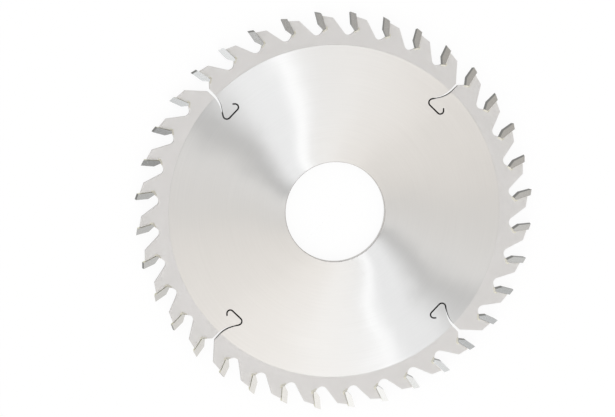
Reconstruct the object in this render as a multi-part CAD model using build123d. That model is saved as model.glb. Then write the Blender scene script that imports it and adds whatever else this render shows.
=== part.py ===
from build123d import *
import os
from math import cos, degrees, pi, radians, sin, tan

# Scoring saw blade: a ground steel plate with a toothed rim, brazed conical carbide tips
# and hooked expansion slots. It lies in the XY plane with its bore on Z, and its teeth
# point counter-clockwise, which is the way it turns. Lengths are in mm, angles in degrees.

# Plate
outer_diameter = 180.0  # over the cutting edges
bore_diameter = 45.0
bore_chamfer = 0.3
plate_thickness = 3.2  # of the ground disc, where the flanges clamp
rim_band = 15.0  # width of the blasted rim, from the cutting circle inwards
rim_relief = 0.1  # how far each face of the rim lies below the ground disc
tooth_count = 36
first_tooth = 5.9  # direction of the first cutting edge, from +X

# Carbide tip, seen from the side, with heights from the cutting circle inwards
tip_thickness = 2.65  # along the rim, at the top
tip_height = 8.4  # down to the foot
face_height = 5.75  # of the rake face, down to the chamfer at the foot
hook_angle = 9.0  # how far the rake face leans back
back_lean = 10.5  # the same for the brazed back
top_relief = 15.0  # fall of the top behind the cutting edge
foot_chamfer = 38.0  # lean of the chamfer that takes off the foot's front corner
foot_rise = 32.0  # rise of the foot towards the back

# Carbide tip, seen from the front: narrow at the cutting edge and wide at the foot
edge_kerf = 4.4
root_kerf = 5.4
side_relief = 1.5  # the flanks close in behind the rake face
top_bevel = 6.0  # the tops are high at the front and at the back in turn

# Steel tooth behind the tip, and the gullet in front of it
land_drop = 2.05  # from the cutting circle down to the steel at the tip's back
land_length = 4.85
land_relief = 15.0
back_angle = 31.0  # of the tooth's back, from the radial line
gullet_angle = 45.0  # of the gullet's side below the tip, from the radial line
gullet_radius = 2.4
largest_round = 0.98  # share of a gullet's shorter side that its round may take up

# Braze seam between the seat and the tip
braze_gap = 0.15
braze_fillet = 0.65  # width on the plate's faces
braze_climb = 0.7  # share of the tip's overhang that the fillet climbs

# Expansion slots: each is let in from a gullet, bends, narrows to a laser cut and ends in a
# hook
slot_count = 4
first_slot = 4  # number of the tooth behind the first slot, counted from zero
slot_gullet_radius = 0.8  # a gullet with a slot runs down to it as a V
mouth_width = 1.4
bend_width = 1.0
laser_kerf = 0.45
mouth_length = 9.6  # from the middle of a full gullet's round to where the legs would meet
bend_radius = 12.0
leg_lean = 33.5  # of the second leg, from the radial line
leg_length = 5.2  # of the second leg, from that point to the laser cut
kerf_run = 1.7  # straight part of the laser cut before the hook
heel_radius = 1.7
floor_run = 5.1  # straight part of the hook's floor
toe_radius = 1.5
toe_lean = 45.0  # of the hook's end, from the floor
toe_run = 0.9

# Each tooth is drawn on the +X side: its radial line is X and +Y leads. A heading is the
# angle of a line from +X.
full_turn = degrees(2 * pi)
across = full_turn / 4  # from a heading to the one square to it
inward = full_turn / 2
trailing = inward + across
outer_radius = outer_diameter / 2
rim_thickness = plate_thickness - 2 * rim_relief
pitch = full_turn / tooth_count
rake_heading = inward + hook_angle
back_heading = inward + back_lean
chamfer_heading = inward + foot_chamfer
foot_heading = trailing + foot_rise
land_heading = trailing - land_relief
slope_heading = inward + back_angle
gullet_heading = inward - gullet_angle
leg_heading = inward - leg_lean
toe_heading = across - toe_lean


def step(start, heading, length):
    """Point at a distance from another one, along a heading."""
    return start + Vector(length * cos(radians(heading)), length * sin(radians(heading)))


def crossing(first, first_heading, second, second_heading):
    """Point where two lines meet, each given by a point and a heading."""
    ahead = Vector(0, 0)
    return Axis(first, step(ahead, first_heading, 1)) & Axis(second, step(ahead, second_heading, 1))


def tangent_length(radius, heading, next_heading):
    """Distance from a corner to where its fillet starts."""
    turn = (next_heading - heading) % full_turn
    return radius * tan(radians(turn / 2))


def at_tooth(shape, tooth):
    """Copy of a shape, moved from the +X side to its tooth's place on the rim."""
    return Rot(0, 0, first_tooth + tooth * pitch) * shape


# Corners of the tip
edge = Vector(outer_radius, 0)
top_back = Vector(outer_radius - tip_thickness * tan(radians(top_relief)), -tip_thickness)
chin = step(edge, rake_heading, face_height / cos(radians(hook_angle)))
foot = step(chin, chamfer_heading, (tip_height - face_height) / cos(radians(foot_chamfer)))
heel = crossing(top_back, back_heading, foot, foot_heading)

# Corners of the steel: the seat follows the tip's back and foot, one braze gap away
seat_back = step(heel, back_heading + across, braze_gap)
seat_foot = step(heel, foot_heading - across, braze_gap)
land_front = crossing(seat_back, back_heading, Vector(outer_radius - land_drop, 0), across)
land_back = step(land_front, land_heading, land_length)
seat_corner = crossing(seat_back, back_heading, seat_foot, foot_heading)
seat_front = crossing(seat_foot, foot_heading, foot, gullet_heading)
next_back = land_back.rotate(Axis.Z, pitch)
next_heading = slope_heading + pitch
gullet_corner = crossing(foot, gullet_heading, next_back, next_heading)

# The gullet's round, which its two sides leave room for, and its middle, where a slot's
# first leg is lined up
half_opening = (next_heading - gullet_heading) / 2
shorter_side = min((gullet_corner - seat_front).length, (gullet_corner - next_back).length)
gullet_round = min(gullet_radius, largest_round * shorter_side * tan(radians(half_opening)))
slot_round = min(slot_gullet_radius, gullet_round)
bisector = (next_heading + gullet_heading) / 2 - inward
gullet_middle = step(gullet_corner, bisector, gullet_round / sin(radians(half_opening)))


def slot_teeth():
    """Numbers of the teeth behind the slots, spaced as evenly as the teeth allow."""
    return [round(first_slot + slot * tooth_count / slot_count) % tooth_count for slot in range(slot_count)]


def toothed_face():
    """Outline of the plate, tooth by tooth."""
    corners = []
    radii = []
    slotted = slot_teeth()
    for tooth in range(tooth_count):
        turn = first_tooth + tooth * pitch
        for corner in (land_back, land_front, seat_corner, seat_front, gullet_corner):
            corners.append(corner.rotate(Axis.Z, turn))
        radii += [0, 0, 0, 0, slot_round if tooth in slotted else gullet_round]
    return make_face(FilletPolyline(*corners, radius=radii, close=True))


def slot_face():
    """Expansion slot: a tapered mouth with a bend, then a hook of constant width."""
    bend = step(gullet_middle, inward, mouth_length)
    throat = step(bend, leg_heading, leg_length)
    edges = []
    for side in (-1, 1):
        near = step(gullet_middle, side * across, mouth_width / 2)
        corner = step(bend, side * across - leg_lean / 2, bend_width / 2 / cos(radians(leg_lean / 2)))
        far = step(throat, side * across - leg_lean, laser_kerf / 2)
        edges.append(FilletPolyline(near, corner, far, radius=[bend_radius]))
    ends = [Line(edges[0] @ 0, edges[1] @ 0), Line(edges[0] @ 1, edges[1] @ 1)]
    mouth = make_face(Curve() + edges + ends)

    heel_bend = tangent_length(heel_radius, leg_heading, trailing)
    toe_bend = tangent_length(toe_radius, trailing, toe_heading)
    hook_corner = step(throat, leg_heading, kerf_run + heel_bend)
    toe_corner = step(hook_corner, trailing, heel_bend + floor_run + toe_bend)
    toe_end = step(toe_corner, toe_heading, toe_bend + toe_run)
    hook = FilletPolyline(throat, hook_corner, toe_corner, toe_end, radius=[heel_radius, toe_radius])
    return mouth + make_face(hook.offset_2d(laser_kerf / 2))


def bore():
    """Bore with a chamfer at each face, as the solid that is cut away."""
    radius = bore_diameter / 2
    half = plate_thickness / 2
    wall = half - bore_chamfer
    mouth = radius + bore_chamfer
    profile = Polyline((0, -half), (mouth, -half), (radius, -wall), (radius, wall), (mouth, half), (0, half), close=True)
    return revolve(Plane.XZ * make_face(profile), Axis.Z)


def plate():
    """Steel plate: teeth, relieved rim, bore and slots."""
    body = extrude(toothed_face(), plate_thickness / 2, both=True)
    relief = extrude(Circle(outer_radius) - Circle(outer_radius - rim_band), rim_relief)
    relief = Pos(0, 0, plate_thickness / 2 - rim_relief) * relief
    slot = extrude(slot_face(), plate_thickness / 2, both=True)
    cuts = [relief, mirror(relief, Plane.XY), bore()]
    cuts += [at_tooth(slot, tooth) for tooth in slot_teeth()]
    return body - cuts


def tip(high_side):
    """Carbide tip, with its top high at the front (1) or at the back (-1)."""
    side_view = make_face(Polyline(edge, top_back, heel, foot, chin, close=True))
    body = extrude(side_view, root_kerf, both=True)
    spread = (root_kerf - edge_kerf) / 2 / tip_height
    close_in = tan(radians(side_relief))
    for side in (-1, 1):
        corner = edge + Vector(0, 0, side * edge_kerf / 2)
        body = split(body, Plane(corner, z_dir=(spread, -close_in, side)), keep=Keep.BOTTOM)
    high_corner = edge + Vector(0, 0, high_side * edge_kerf / 2)
    top = Plane(high_corner, z_dir=(1, -tan(radians(top_relief)), -high_side * tan(radians(top_bevel))))
    return split(body, top, keep=Keep.BOTTOM)


def braze_seam():
    """Braze of one tip: a film along the back and the foot, with a fillet on each face."""
    half = rim_thickness / 2
    reach = braze_gap + braze_fillet
    climb = braze_climb * (edge_kerf / 2 - half)
    side = [(0, half + climb), (reach, half), (braze_gap, half)]
    section = Polyline(*side, *[(x, -y) for x, y in reversed(side)], close=True)
    ahead = step(Vector(0, 0), back_heading, 1)
    away = step(Vector(0, 0), back_heading + across, 1)
    start = Plane(top_back, x_dir=away, z_dir=ahead)
    path = Polyline(top_back, heel, step(foot, foot_heading + inward, reach))
    seam = sweep(start * make_face(section), path, transition=Transition.RIGHT)
    land = Plane(land_front, z_dir=step(Vector(0, 0), land_heading + across, 1))
    gullet = Plane(foot, z_dir=step(Vector(0, 0), gullet_heading - across, 1))
    return split(split(seam, land, keep=Keep.BOTTOM), gullet, keep=Keep.BOTTOM)


os.makedirs("parts", exist_ok=True)
export_step(plate(), "parts/plate.step")

# The tops alternate, and the first tooth is high at the front
tips = [tip(1), tip(-1)]
for tooth in range(tooth_count):
    export_step(at_tooth(tips[tooth % 2], tooth), f"parts/tooth_tip_{tooth + 1:02d}.step")

seam = braze_seam()
seams = Compound([at_tooth(seam, tooth).solid() for tooth in range(tooth_count)])
export_step(seams, "parts/braze_seams.step")
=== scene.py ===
# %% [markdown]
# # A scoring saw blade, lying on a white table
#
# The blade is a flat steel disc with a plain round bore. Thirty-six carbide tips are brazed
# round its edge, and four hooked slots let the rim grow when it gets warm. All of these have
# a real shape and a real size, so they come from the CAD model. What is left to do here is
# the finish of each surface, the table, the camera and the light.

# %% Load the CAD model as a fixed frame
import math

import bpy
from mathutils import Matrix, Vector


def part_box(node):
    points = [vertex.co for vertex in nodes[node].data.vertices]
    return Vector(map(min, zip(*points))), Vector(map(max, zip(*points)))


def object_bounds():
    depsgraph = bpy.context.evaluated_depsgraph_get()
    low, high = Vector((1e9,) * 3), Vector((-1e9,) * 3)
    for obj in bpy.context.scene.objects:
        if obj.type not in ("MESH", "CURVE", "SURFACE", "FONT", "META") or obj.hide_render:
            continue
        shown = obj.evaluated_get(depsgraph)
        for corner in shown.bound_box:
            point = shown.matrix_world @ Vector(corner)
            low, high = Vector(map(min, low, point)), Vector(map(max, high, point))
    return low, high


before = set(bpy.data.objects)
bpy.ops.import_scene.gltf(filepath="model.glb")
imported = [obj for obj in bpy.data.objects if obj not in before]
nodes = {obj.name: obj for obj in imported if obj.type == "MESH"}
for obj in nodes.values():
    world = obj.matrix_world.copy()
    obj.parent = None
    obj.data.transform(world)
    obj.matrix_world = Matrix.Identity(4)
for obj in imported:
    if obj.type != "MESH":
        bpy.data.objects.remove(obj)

mm = 0.001
cad_low, cad_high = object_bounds()
print("pieces:", len(nodes), "box in mm:", [round(side / mm, 2) for side in cad_high - cad_low])

# %% [markdown]
# ## Sizes
#
# The blade lies in the XY plane with its bore on the Z axis, so a distance from that axis
# tells where on the disc a point is. The rim is a band of its own: it was relieved by a
# tenth of a millimetre and blasted, while the disc inside it was ground. The frame is in
# metres and a blade is best described in millimetres, so its lengths are written in
# millimetres, times one factor.

# %% Distances from the bore's axis
rim_start = 75.0 * mm
slot_floor = 62.0 * mm
hook_top = 67.8 * mm
slot_mouth = 79.5 * mm
tip_foot = 82.4 * mm
plate_low, plate_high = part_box("plate")
print("the plate is", round((plate_high.z - plate_low.z) / mm, 2), "mm thick")
print("the tips reach down to", round(cad_low.z / mm, 2), "mm")

# %% [markdown]
# ## Colours and nodes
#
# Colours are easiest to pick as the hex values that a paint chart gives. Those are sRGB
# values, made for the eye, and a shader calculates with linear light. One function turns
# one into the other. A second one adds a node, sets its values and makes its links, so that
# each finish below reads as a list of steps.


# %% Turn a hex colour into linear light
def colour(hex_value):
    """Linear RGBA of an sRGB hex colour, by the curve of the sRGB standard."""
    channels = [int(hex_value[i:i + 2], 16) / 255 for i in (1, 3, 5)]
    return [c / 12.92 if c <= 0.04045 else ((c + 0.055) / 1.055) ** 2.4 for c in channels] + [1.0]


print("mid grey is", [round(c, 3) for c in colour("#808080")])


# %% Add one node with its settings and links
def add(material, kind, inputs=None, **settings):
    """New node in a material or world.

    An input goes by its name, or by its number where a node has two of one name. It is a
    value, another node's output, or a node, which stands for its first output in use.
    """
    tree = material.node_tree
    node = tree.nodes.new("ShaderNode" + kind)
    for name, value in settings.items():
        setattr(node, name, value)
    for key, value in (inputs or {}).items():
        named = [socket for socket in node.inputs if socket.enabled and socket.name == key]
        socket = named[0] if named else node.inputs[key]
        if isinstance(value, bpy.types.Node):
            value = next(output for output in value.outputs if output.enabled)
        if isinstance(value, bpy.types.NodeSocket):
            tree.links.new(value, socket)
        else:
            socket.default_value = value
    return node


# %% Start a material, and give it to pieces
def empty_material(name):
    """New material without nodes."""
    material = bpy.data.materials.new(name)
    material.use_nodes = True
    material.node_tree.nodes.clear()
    return material


def dress(pieces, material):
    """Put the material into every material slot of the CAD pieces."""
    for piece in pieces:
        for material_slot in piece.material_slots:
            material_slot.material = material
    print(material.name, "pieces:", len(pieces), "nodes:", len(material.node_tree.nodes))


print("slots to fill:", sum(len(piece.material_slots) for piece in nodes.values()))

# %% [markdown]
# ## Where on the blade
#
# Nearly all that was done to the blade was done while it turned, so its finishes run round
# the bore. Object coordinates are metres from the middle of the bore. Without their height
# they give the distance from the bore's axis and the direction away from it. Square to that
# direction is the way in which the blade turns: counter-clockwise, as its teeth point.


# %% Distance and directions on the disc
def in_plane(material):
    """Point of the surface, without its height."""
    place = add(material, "TexCoord").outputs["Object"]
    return add(material, "VectorMath", {0: place, 1: (1, 1, 0)}, operation="MULTIPLY")


def from_axis(material):
    """Distance from the bore's axis."""
    return add(material, "VectorMath", {0: in_plane(material)}, operation="LENGTH")


def away_from_axis(material):
    """Direction away from the bore's axis."""
    return add(material, "VectorMath", {0: in_plane(material)}, operation="NORMALIZE")


def way_of_turning(material):
    """Direction in which the blade turns."""
    away = away_from_axis(material)
    return add(material, "VectorMath", {0: (0, 0, 1), 1: away}, operation="CROSS_PRODUCT")


print("the blade reaches", round(cad_high.x / mm, 2), "mm from the axis along X")

# %% [markdown]
# ## Ground steel with a blasted rim
#
# The plate is hardened tool steel. Its disc was ground while it turned, so it is covered
# with fine scratches that run round the bore. Light that meets such a scratch is spread
# across it, which is why the disc shows bright and dark rays that all point at the middle,
# as a compact disc does. Rays could be painted on as wedges, but then they would stay put
# when the light moves. An anisotropic shader makes them out of the light.
#
# The scratches are a noise texture on stretched coordinates: one coordinate is the distance
# from the bore, and the other two are a point on a small circle, which change so slowly
# that each scratch runs on for centimetres. The angle round the bore would do too, but it
# jumps after a full turn, and the circle doesn't. Real scratches are some 0.05 mm wide.
# That is far below a pixel here, so they are drawn ten times as wide.

# %% Scratches of the grinding wheel
scratch_width = 0.5 * mm
scratch_run = 30 * mm


def scratches(steel, width, run):
    """Noise with lumps that are narrow away from the bore and run on round it."""
    circle = {0: away_from_axis(steel), "Scale": slot_floor * width / run}
    parts = add(steel, "SeparateXYZ", {0: add(steel, "VectorMath", circle, operation="SCALE")})
    where = add(steel, "CombineXYZ", {
        "X": from_axis(steel), "Y": parts.outputs["X"], "Z": parts.outputs["Y"]})
    return add(steel, "TexNoise", {"Vector": where, "Scale": 1 / width, "Detail": 3.0})


print("scratches end to end in a turn:", round(2 * math.pi * slot_floor / scratch_run))

# %% [markdown]
# ### The walls of the cuts
#
# The gullets, the seats of the tips and the slots are cut straight through the plate, and
# their walls are duller than its disc. They could be picked out face by face, but a wall
# can also be told by its normal, which lies flat where that of a face stands upright. The
# chamfer of the bore counts as a wall.

# %% Walls of the cuts
flat_face = 0.95  # how high a normal of length 1 stands on a face, at least
steep_wall = 0.8  # and on a wall, at most


def wall_of_cut(steel):
    """1 on the walls of all cuts and 0 on the flat faces."""
    normal = add(steel, "NewGeometry").outputs["True Normal"]
    height = add(steel, "VectorMath", {0: normal, 1: (0, 0, 1)}, operation="DOT_PRODUCT")
    height = add(steel, "Math", {0: height}, operation="ABSOLUTE")
    return add(steel, "MapRange", {"Value": height, "From Min": flat_face, "From Max": steep_wall})


print("a wall leans by at least", round(math.degrees(math.acos(steep_wall))), "degrees")

# %% [markdown]
# ### Soot and painted shade in the slots
#
# The expansion slots were cut with a laser. It leaves sooty oxide on their walls, most of it in
# the narrow hooks, and scorches a thin margin beside each hook. The near-black colour of these
# is also painted shade: it stands in for the dark of the deep, narrow hooks and makes their
# lines bolder. The margin could be a line drawn after the hook's shape, but an ambient
# occlusion node that looks into the steel finds it without being told the shape: its short
# rays meet nothing in the solid steel, and beside a cut some of them meet the wall.

# %% Laser soot and painted shade in the hooks
scorch_shade_width = 0.18 * mm  # which is how far the rays go
scorch_shade_fade = 0.5 * mm
no_cut_near = 0.98  # share of rays that meet nothing
beside_cut = 0.75


def heat_and_soot_shade(steel, radius, wall):
    """Heat, 1 in the hooks and less towards a mouth, and the hooks' dark: oxide and painted shade."""
    start = {"Value": radius, "From Min": slot_floor - mm, "From Max": slot_floor}
    beyond_bore = add(steel, "MapRange", start)
    mouth = add(steel, "MapRange", {"Value": radius, "From Min": slot_mouth, "From Max": hook_top})
    heat = add(steel, "Math", {0: beyond_bore, 1: mouth}, operation="MULTIPLY")
    on_walls = add(steel, "Math", {0: heat, 1: wall}, operation="MULTIPLY")

    rays = {"Distance": scorch_shade_width}
    # The margin beside a hook is partly scorch and partly painted shade, widening its dark line.
    clear = add(steel, "AmbientOcclusion", rays, inside=True, only_local=True).outputs["AO"]
    margin = add(steel, "MapRange", {"Value": clear, "From Min": no_cut_near, "From Max": beside_cut})
    above, below = hook_top + scorch_shade_fade, hook_top - scorch_shade_fade
    in_hook = add(steel, "MapRange", {"Value": radius, "From Min": above, "From Max": below})
    for share in (in_hook, beyond_bore):
        margin = add(steel, "Math", {0: margin, 1: share}, operation="MULTIPLY")
    return heat, add(steel, "Math", {0: on_walls, 1: margin}, operation="MAXIMUM")


print("scorched hooks are", round((hook_top - slot_floor) / mm, 1), "mm deep")

# %% [markdown]
# ### The way of the highlights
#
# The tangent of an anisotropic shader is the way in which a highlight is stretched, and for
# scratches that run round the bore it points straight away from it. The wheel didn't run
# quite true, though. The scratches waver a little and wind in near the bore, which gives
# the bright rays the soft, feathered edge and the bent foot of the real ones.
#
# The rim was blasted after the tips were brazed, and the walls of the gullets were milled.
# Neither has a direction that shows. They could have a plain material of their own, but
# they are one piece with the disc. So each small patch of them gets a tangent of its own,
# taken at random, and over a few patches the stretching averages out.

# %% Tangent of the steel
drift = 0.10  # how far it leans aside in broad clouds, for a step of 1 away from the bore
waver = 0.06  # and from one scratch to the next
wind_in = 0.225  # and by the bore, where it sets in slowly, as a square does
straight_from = 57 * mm
wound_at = 26 * mm
patch_size = 0.1 * mm


def tangent_of_steel(steel, place, radius, fine, cloud, matt):
    """Across the scratches on the disc, and at random where the steel is matt."""
    drifting = add(steel, "Mix", {"Factor": cloud, "A": -drift, "B": drift})
    wavering = add(steel, "Mix", {"Factor": fine, "A": -waver, "B": waver})
    swerve = add(steel, "Math", {0: drifting, 1: wavering}, operation="ADD")
    near_bore = {"Value": radius, "From Min": straight_from, "From Max": wound_at}
    winding = add(steel, "Math", {0: add(steel, "MapRange", near_bore), 1: 2.0}, operation="POWER")
    swerve = add(steel, "Math", {0: winding, 1: -wind_in, 2: swerve}, operation="MULTIPLY_ADD")
    aside = add(steel, "VectorMath", {0: way_of_turning(steel), "Scale": swerve}, operation="SCALE")
    across = add(steel, "VectorMath", {0: away_from_axis(steel), 1: aside}, operation="ADD")

    patch = add(steel, "VectorMath", {0: place, 1: [patch_size] * 3}, operation="SNAP")
    chance = add(steel, "TexWhiteNoise", {"Vector": patch}).outputs["Color"]
    any_way = add(steel, "VectorMath", {0: chance, 1: [0.5] * 3}, operation="SUBTRACT")
    return add(steel, "Mix", {"Factor": matt, "A": across, "B": any_way}, data_type="VECTOR")


print("on the disc it leans by up to", round(math.degrees(math.atan(drift + waver)), 1), "degrees")
print("and by the bore up to", round(math.degrees(math.atan(drift + waver + wind_in)), 1), "degrees")

# %% [markdown]
# ### Tone
#
# Ground steel is pale and a little warm. Blasting makes it paler and milling darker. In the
# hooks a near-black coat covers both, which is partly laser oxide and partly painted shade.
# Each could be a material, but they meet on one piece, so they are laid over one another
# like coats of paint, each with the share of the surface that it covers. The disc varies a
# little from scratch to scratch, and the rim in broad clouds.


# %% Tones of the steel
def tones_of_steel(steel, fine, cloud, rim, wall, soot_and_shade):
    """Colour of the steel, and the one it takes at a glancing angle, dark as painted shade in the hooks.
    """
    ground = {"Factor": fine, "A": colour("#d6d5d3"), "B": colour("#dcdbd9")}
    blasted = {"Factor": cloud, "A": colour("#dedddb"), "B": colour("#e6e4e3")}
    # The glancing colour goes near black in the hooks: painted shade on their reflections.
    glancing = {"Factor": soot_and_shade, "A": colour("#ffffff"), "B": colour("#100e0d")}
    tone, rim_tone, glancing_shade_tone = (
        add(steel, "Mix", shades, data_type="RGBA") for shades in (ground, blasted, glancing))
    # The last coat is near black: partly laser oxide, partly painted shade of the narrow hooks.
    for share, coat in ((rim, rim_tone), (wall, colour("#c9c7c4")), (soot_and_shade, colour("#100e0d"))):
        tone = add(steel, "Mix", {"Factor": share, "A": tone, "B": coat}, data_type="RGBA")
    return tone, glancing_shade_tone


soot_and_shade_share = colour("#100e0d")[0] / colour("#d6d5d3")[0]
print("soot gives back", round(100 * soot_and_shade_share, 1), "per cent of what steel does")

# %% [markdown]
# ### Shine
#
# Ground steel has a roughness of about 0.3, in bands as broad as a pass of the wheel.
# Blasting makes the rim duller and leaves dimples of some 0.05 mm, which are too fine to
# show and are drawn as lumps of 0.6 mm. The renderer's noise filter takes steel with a
# roughness under about 0.27 for a mirror, so the disc's stays above that all over, and no
# step shows between one band and the next.

# %% Shine of the steel
band_width = 4 * mm
band_run = 60 * mm
dimple_size = 0.6 * mm


def roughness_of_steel(steel, place, rim, wall, heat):
    """Satin in bands on the disc, and duller on the rim, the walls and the soot."""
    bands = scratches(steel, band_width, band_run)
    dimples = add(steel, "TexNoise", {"Vector": place, "Scale": 1 / dimple_size})
    rough = add(steel, "Mix", {"Factor": bands, "A": 0.28, "B": 0.31})
    rim_rough = add(steel, "Mix", {"Factor": dimples, "A": 0.41, "B": 0.47})
    wall_rough = add(steel, "Mix", {"Factor": heat, "A": 0.40, "B": 0.95})
    for share, coat in ((rim, rim_rough), (wall, wall_rough)):
        rough = add(steel, "Mix", {"Factor": share, "A": rough, "B": coat})
    return rough


print("a band is as wide as", round(band_width / scratch_width), "scratches")

# %% [markdown]
# ### The finished steel
#
# Now the steps above come together in one material. The scratches also lift the surface by
# a trace. They could be cut into the mesh, but a faint bump does the same for the light,
# and leaves the CAD model as it is.

# %% Ground tool steel
rim_edge = 0.05 * mm
cloud_size = 16 * mm
scratch_depth = 0.02 * mm


def ground_tool_steel():
    """Ground disc and blasted rim of the plate, with the walls of its cuts."""
    steel = empty_material("ground_tool_steel")
    place = add(steel, "TexCoord").outputs["Object"]
    radius = from_axis(steel)
    inside, outside = rim_start - rim_edge, rim_start + rim_edge
    rim = add(steel, "MapRange", {"Value": radius, "From Min": inside, "From Max": outside})
    wall = wall_of_cut(steel)
    heat, soot_and_shade = heat_and_soot_shade(steel, radius, wall)
    fine = scratches(steel, scratch_width, scratch_run)
    cloud = add(steel, "TexNoise", {"Vector": place, "Scale": 1 / cloud_size, "Detail": 3.0})
    matt = add(steel, "Math", {0: rim, 1: wall}, operation="MAXIMUM")
    tone, glancing_shade_tone = tones_of_steel(steel, fine, cloud, rim, wall, soot_and_shade)
    rough = roughness_of_steel(steel, place, rim, wall, heat)
    tangent = tangent_of_steel(steel, place, radius, fine, cloud, matt)
    bump = add(steel, "Bump", {"Height": fine, "Strength": 0.05, "Distance": scratch_depth})
    # Its Specular Tint darkens glancing reflections in the hooks: painted shade.
    shader = add(steel, "BsdfPrincipled", {
        "Base Color": tone, "Metallic": 1.0, "Roughness": rough, "Anisotropic": 1.0,
        "Specular Tint": glancing_shade_tone, "Tangent": tangent, "Normal": bump})
    add(steel, "OutputMaterial", {"Surface": shader})
    return steel


dress([nodes["plate"]], ground_tool_steel())

# %% [markdown]
# ## Ground carbide
#
# The tips are tungsten carbide, a hard grey powder sintered with cobalt. It is ground with
# diamond, which leaves it satin and a good deal darker than steel. It is darker still at a
# glancing angle, and that is painted shade: its dim edge tint stands in for the shaded table
# near the blade, which its steep faces would mirror. Its grain is a thousandth of a
# millimetre fine, and is drawn as faint lumps of 0.7 mm. The back of a tip was never ground
# after brazing: solder ran up it, so the part that stands out beside the plate keeps a pale
# skin. The skin could be a thin solid, but it has no thickness that shows. It is told by the
# way a face looks, because only a tip's back faces against the way of turning.

# %% Ground carbide
grain_size = 0.7 * mm
back_edge = -0.6  # how far a face looks ahead: 1 is straight ahead and -1 is straight back
full_back = -0.8


def ground_carbide():
    """Satin, diamond-ground tungsten carbide, with a skin of solder on the tip's back."""
    carbide = empty_material("ground_tungsten_carbide")
    place = add(carbide, "TexCoord").outputs["Object"]
    grain = add(carbide, "TexNoise", {"Vector": place, "Scale": 1 / grain_size})
    normal = add(carbide, "NewGeometry").outputs["True Normal"]
    ahead = add(carbide, "VectorMath", {0: normal, 1: way_of_turning(carbide)}, operation="DOT_PRODUCT")
    back = add(carbide, "MapRange", {"Value": ahead, "From Min": back_edge, "From Max": full_back})
    greys = {"Factor": grain, "A": colour("#b2b2b0"), "B": colour("#bfbfbd")}
    skinned = {"Factor": back, "A": add(carbide, "Mix", greys, data_type="RGBA"), "B": colour("#e8e6d2")}
    rough = add(carbide, "Mix", {"Factor": grain, "A": 0.09, "B": 0.15})
    # The dim Specular Tint is painted shade on the tips' glancing reflections.
    shader = add(carbide, "BsdfPrincipled", {
        "Base Color": add(carbide, "Mix", skinned, data_type="RGBA"), "Metallic": 1.0,
        "Roughness": add(carbide, "Mix", {"Factor": back, "A": rough, "B": 0.6}),
        "Specular Tint": colour("#a0a09e")})
    add(carbide, "OutputMaterial", {"Surface": shader})
    return carbide


tips = [nodes[name] for name in sorted(nodes) if name.startswith("tooth_tip")]
dress(tips, ground_carbide())

# %% [markdown]
# ## Silver braze
#
# Each tip is held by silver solder, a soft pale alloy with a warm, faintly green tint. It
# froze from a liquid and was blasted with the rim, so it is matt and a little uneven. The
# lumps could be modelled, but a seam is little more than a pixel wide, so one noise changes
# its tone and lifts its surface. At the tip's foot it is greyer and a little darker, and it
# turns pale yellow over the millimetre above.

# %% Silver braze
lump_size = 0.8 * mm
lump_height = 0.05 * mm


def silver_solder():
    """Matt silver solder with a pale yellow tint."""
    solder = empty_material("silver_solder")
    place = add(solder, "TexCoord").outputs["Object"]
    lumps = add(solder, "TexNoise", {"Vector": place, "Scale": 1 / lump_size})
    climb = {"Value": from_axis(solder), "From Min": tip_foot, "From Max": tip_foot + mm}
    yellows = {"Factor": lumps, "A": colour("#e0ddc2"), "B": colour("#ebe9d4")}
    tones = {"Factor": add(solder, "MapRange", climb), "A": colour("#d6d4cb"),
             "B": add(solder, "Mix", yellows, data_type="RGBA")}
    bump = add(solder, "Bump", {"Height": lumps, "Strength": 0.3, "Distance": lump_height})
    shader = add(solder, "BsdfPrincipled", {
        "Base Color": add(solder, "Mix", tones, data_type="RGBA"),
        "Metallic": 1.0, "Roughness": 0.7, "Normal": bump})
    add(solder, "OutputMaterial", {"Surface": shader})
    return solder


dress([nodes["braze_seams"]], silver_solder())

# %% [markdown]
# ## Table
#
# The blade lies on the feet of its tips, so the table is at the lowest point of the frame.
# It is white. More light would make it so, but the blade would get that light too, so most
# of its white is its own, which metal sees as the camera does. The rest is a plain matt
# surface that takes the blade's soft shadow, and is all that other light meets.
#
# No light gets through the hooks of the slots, so the paper under them is dark: an ambient
# occlusion node tells it how much of the sky it sees. Further out the slots are wide enough
# to show white.

# %% White paper
own_white = 0.92  # share of the paper's white that is its own
gap_reach = 3 * mm  # how far up the paper looks for the blade
shut_in = 0.25  # share of the sky that it sees under a hook
open_sky = 0.45
hook_fade = 0.2 * mm


def white_paper():
    """Matt white paper with a white of its own, dark under the hooks."""
    paper = empty_material("white_paper")
    cover = add(paper, "AmbientOcclusion", {"Distance": gap_reach}).outputs["AO"]
    free = add(paper, "MapRange", {"Value": cover, "From Min": shut_in, "From Max": open_sky})
    below, above = hook_top - hook_fade, hook_top + hook_fade
    beyond = add(paper, "MapRange", {"Value": from_axis(paper), "From Min": below, "From Max": above})
    bright = add(paper, "Math", {0: free, 1: beyond}, operation="MAXIMUM")
    shades = {"Factor": bright, "A": colour("#000000"), "B": colour("#f4f4f4")}
    matt = add(paper, "BsdfDiffuse", {"Color": add(paper, "Mix", shades, data_type="RGBA")})
    glow = add(paper, "Emission", {"Color": colour("#ffffff"), "Strength": 1.0})
    share = add(paper, "Math", {0: bright, 1: own_white}, operation="MULTIPLY")
    lifted = add(paper, "MixShader", {0: share, 1: matt, 2: glow})
    rays = add(paper, "LightPath").outputs
    seen = rays["Is Camera Ray"]
    for other in (rays["Is Glossy Ray"], rays["Is Transmission Ray"]):
        seen = add(paper, "Math", {0: seen, 1: other}, operation="MAXIMUM")
    surface = add(paper, "MixShader", {0: seen, 1: matt, 2: lifted})
    add(paper, "OutputMaterial", {"Surface": surface})
    return paper


print("the paper's own white is", own_white, "of the whole")

# %% Table under the tips
table_size = 12.0  # metres


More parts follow.
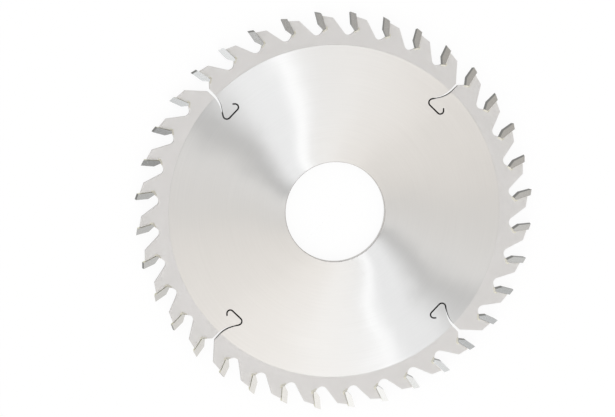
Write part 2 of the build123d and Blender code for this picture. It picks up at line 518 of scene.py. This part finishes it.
def white_table():
    """White square under the blade."""
    half = table_size / 2
    corners = [(x * half, y * half, cad_low.z) for x, y in ((-1, -1), (1, -1), (1, 1), (-1, 1))]
    mesh = bpy.data.meshes.new("table")
    mesh.from_pydata(corners, [], [(0, 1, 2, 3)])
    mesh.materials.append(white_paper())
    table = bpy.data.objects.new("table", mesh)
    bpy.context.scene.collection.objects.link(table)


white_table()
print("the table is at", round(cad_low.z / mm, 2), "mm")

# %% [markdown]
# ## Camera
#
# The camera looks down on the blade from ten degrees off straight above, on its upper left.
# It could stand close by with a short lens, but then the near side of the rim would look
# larger than the far side. So it is far away, with a long lens, whose length follows from
# how many pixels a millimetre of the blade takes up in the picture.

# %% Place of the camera, seen from the bore
camera_distance = 1.2  # metres
azimuth = math.radians(139.59)
tilt = math.radians(10.296)
camera_lean = Vector((math.cos(azimuth), math.sin(azimuth), 0.0)) * math.sin(tilt)
eye = camera_distance * (camera_lean + Vector((0.0, 0.0, math.cos(tilt))))
print("the camera is at", [round(side, 3) for side in eye], "m")

# %% Camera
picture_width = 615  # pixels
pixels_per_mm = 2.2253
sensor_width = 36.0  # millimetres, and so is the focal length
focal_length = pixels_per_mm * camera_distance / mm / picture_width * sensor_width
roll = math.radians(0.121)
aim = Vector((-12.40 * mm, 1.533 * mm, 0.0))


def place_camera():
    """Camera that looks at its aim, with the picture's up near +Y."""
    data = bpy.data.cameras.new("camera")
    data.sensor_width = sensor_width
    data.lens = focal_length
    camera = bpy.data.objects.new("camera", data)
    back = (eye - aim).normalized()
    right = Vector((-math.sin(roll), math.cos(roll), 0.0)).cross(back).normalized()
    turned = Matrix((right, back.cross(right), back)).transposed()
    camera.matrix_world = Matrix.Translation(eye) @ turned.to_4x4()
    bpy.context.scene.collection.objects.link(camera)
    bpy.context.scene.camera = camera


place_camera()
print("lens", round(focal_length, 1), "mm")

# %% [markdown]
# ## Light
#
# The blade lies in a white tent whose sides are cards of unequal brightness. All scratches
# of the ground disc run round the bore, so each card shows there as a pair of rays: one at
# the angle at which the card stands, and a fainter one straight across the bore. A tip's
# flank shows only the card that it leans towards, which is why some tips are white and
# others dark. Lamps could do the same, but they would show as spots in the satin tips, and
# cards show as soft bands.
#
# The cards don't meet straight above the blade but at the point of the sky that the flat
# disc mirrors into the camera. A ray is then as straight as the scratches let it be. On
# average the cards are a little brighter than plain white, which is 1, and no lamp adds to
# them. A Color Ramp holds 32 stops at most: these cards, and the first one once more, to
# close the turn.

# %% Cards of the tent
warm = "#fffaf4"
cream = "#fffcf9"
plain = "#ffffff"
cool = "#fafcff"
# Where a card stands, in degrees from +X, how bright it is, and its white
cards = [
    (0, 0.85, warm),
    (22, 0.80, warm),
    (30, 0.85, warm),
    (40, 0.70, warm),
    (50, 0.80, warm),
    (60, 0.80, cream),
    (98, 0.65, cream),
    (104, 1.00, cool),
    (109, 3.20, cool),
    (114, 0.95, cool),
    (120, 1.70, cool),
    (129, 1.75, cool),
    (137, 0.75, plain),
    (147, 0.10, plain),
    (156, 1.00, plain),
    (180, 1.00, plain),
    (190, 1.25, cream),
    (204, 1.35, cream),
    (218, 1.45, cream),
    (226, 1.60, cream),
    (250, 1.75, cream),
    (262, 2.05, plain),
    (278, 1.95, plain),
    (285, 1.15, cool),
    (291, 2.20, cool),
    (297, 0.50, cool),
    (305, 1.05, cool),
    (316, 1.30, cool),
    (324, 0.40, plain),
    (332, 1.55, plain),
    (342, 1.00, cream),
]
brightest = max(level for degrees, level, white in cards)
print("cards:", len(cards), "and the brightest is", brightest)


# %% Sky of the tent
def white_tent(meeting_point):
    """World whose brightness goes from card to card round the point where they meet."""
    world = bpy.data.worlds.new("white_tent")
    world.use_nodes = True
    world.node_tree.nodes.clear()
    way = add(world, "TexCoord").outputs["Generated"]
    way = add(world, "VectorMath", {0: way, 1: meeting_point}, operation="SUBTRACT")
    parts = add(world, "SeparateXYZ", {0: way}).outputs
    angle = add(world, "Math", {0: parts["Y"], 1: parts["X"]}, operation="ARCTAN2")
    turns = add(world, "Math", {0: angle, 1: 2 * math.pi}, operation="DIVIDE")
    ramp = add(world, "ValToRGB", {"Fac": add(world, "Math", {0: turns}, operation="FRACT")})
    stops = ramp.color_ramp.elements
    for degrees, level, white in cards:
        light = [channel * level / brightest for channel in colour(white)[:3]] + [1.0]
        if degrees == 0:
            stops[0].color = light
            stops[-1].color = light
        else:
            stops.new(degrees / 360).color = light
    sky = add(world, "Background", {"Color": ramp, "Strength": brightest})
    add(world, "OutputWorld", {"Surface": sky})
    bpy.context.scene.world = world
    print("stops in the ramp:", len(stops))


white_tent(-camera_lean)
print("the cards meet at", [round(side, 3) for side in -camera_lean])

# %% [markdown]
# ## Last settings
#
# The Standard view shows each colour as it was written, where a filmic one would grey the
# white paper.

bpy.context.scene.view_settings.view_transform = "Standard"
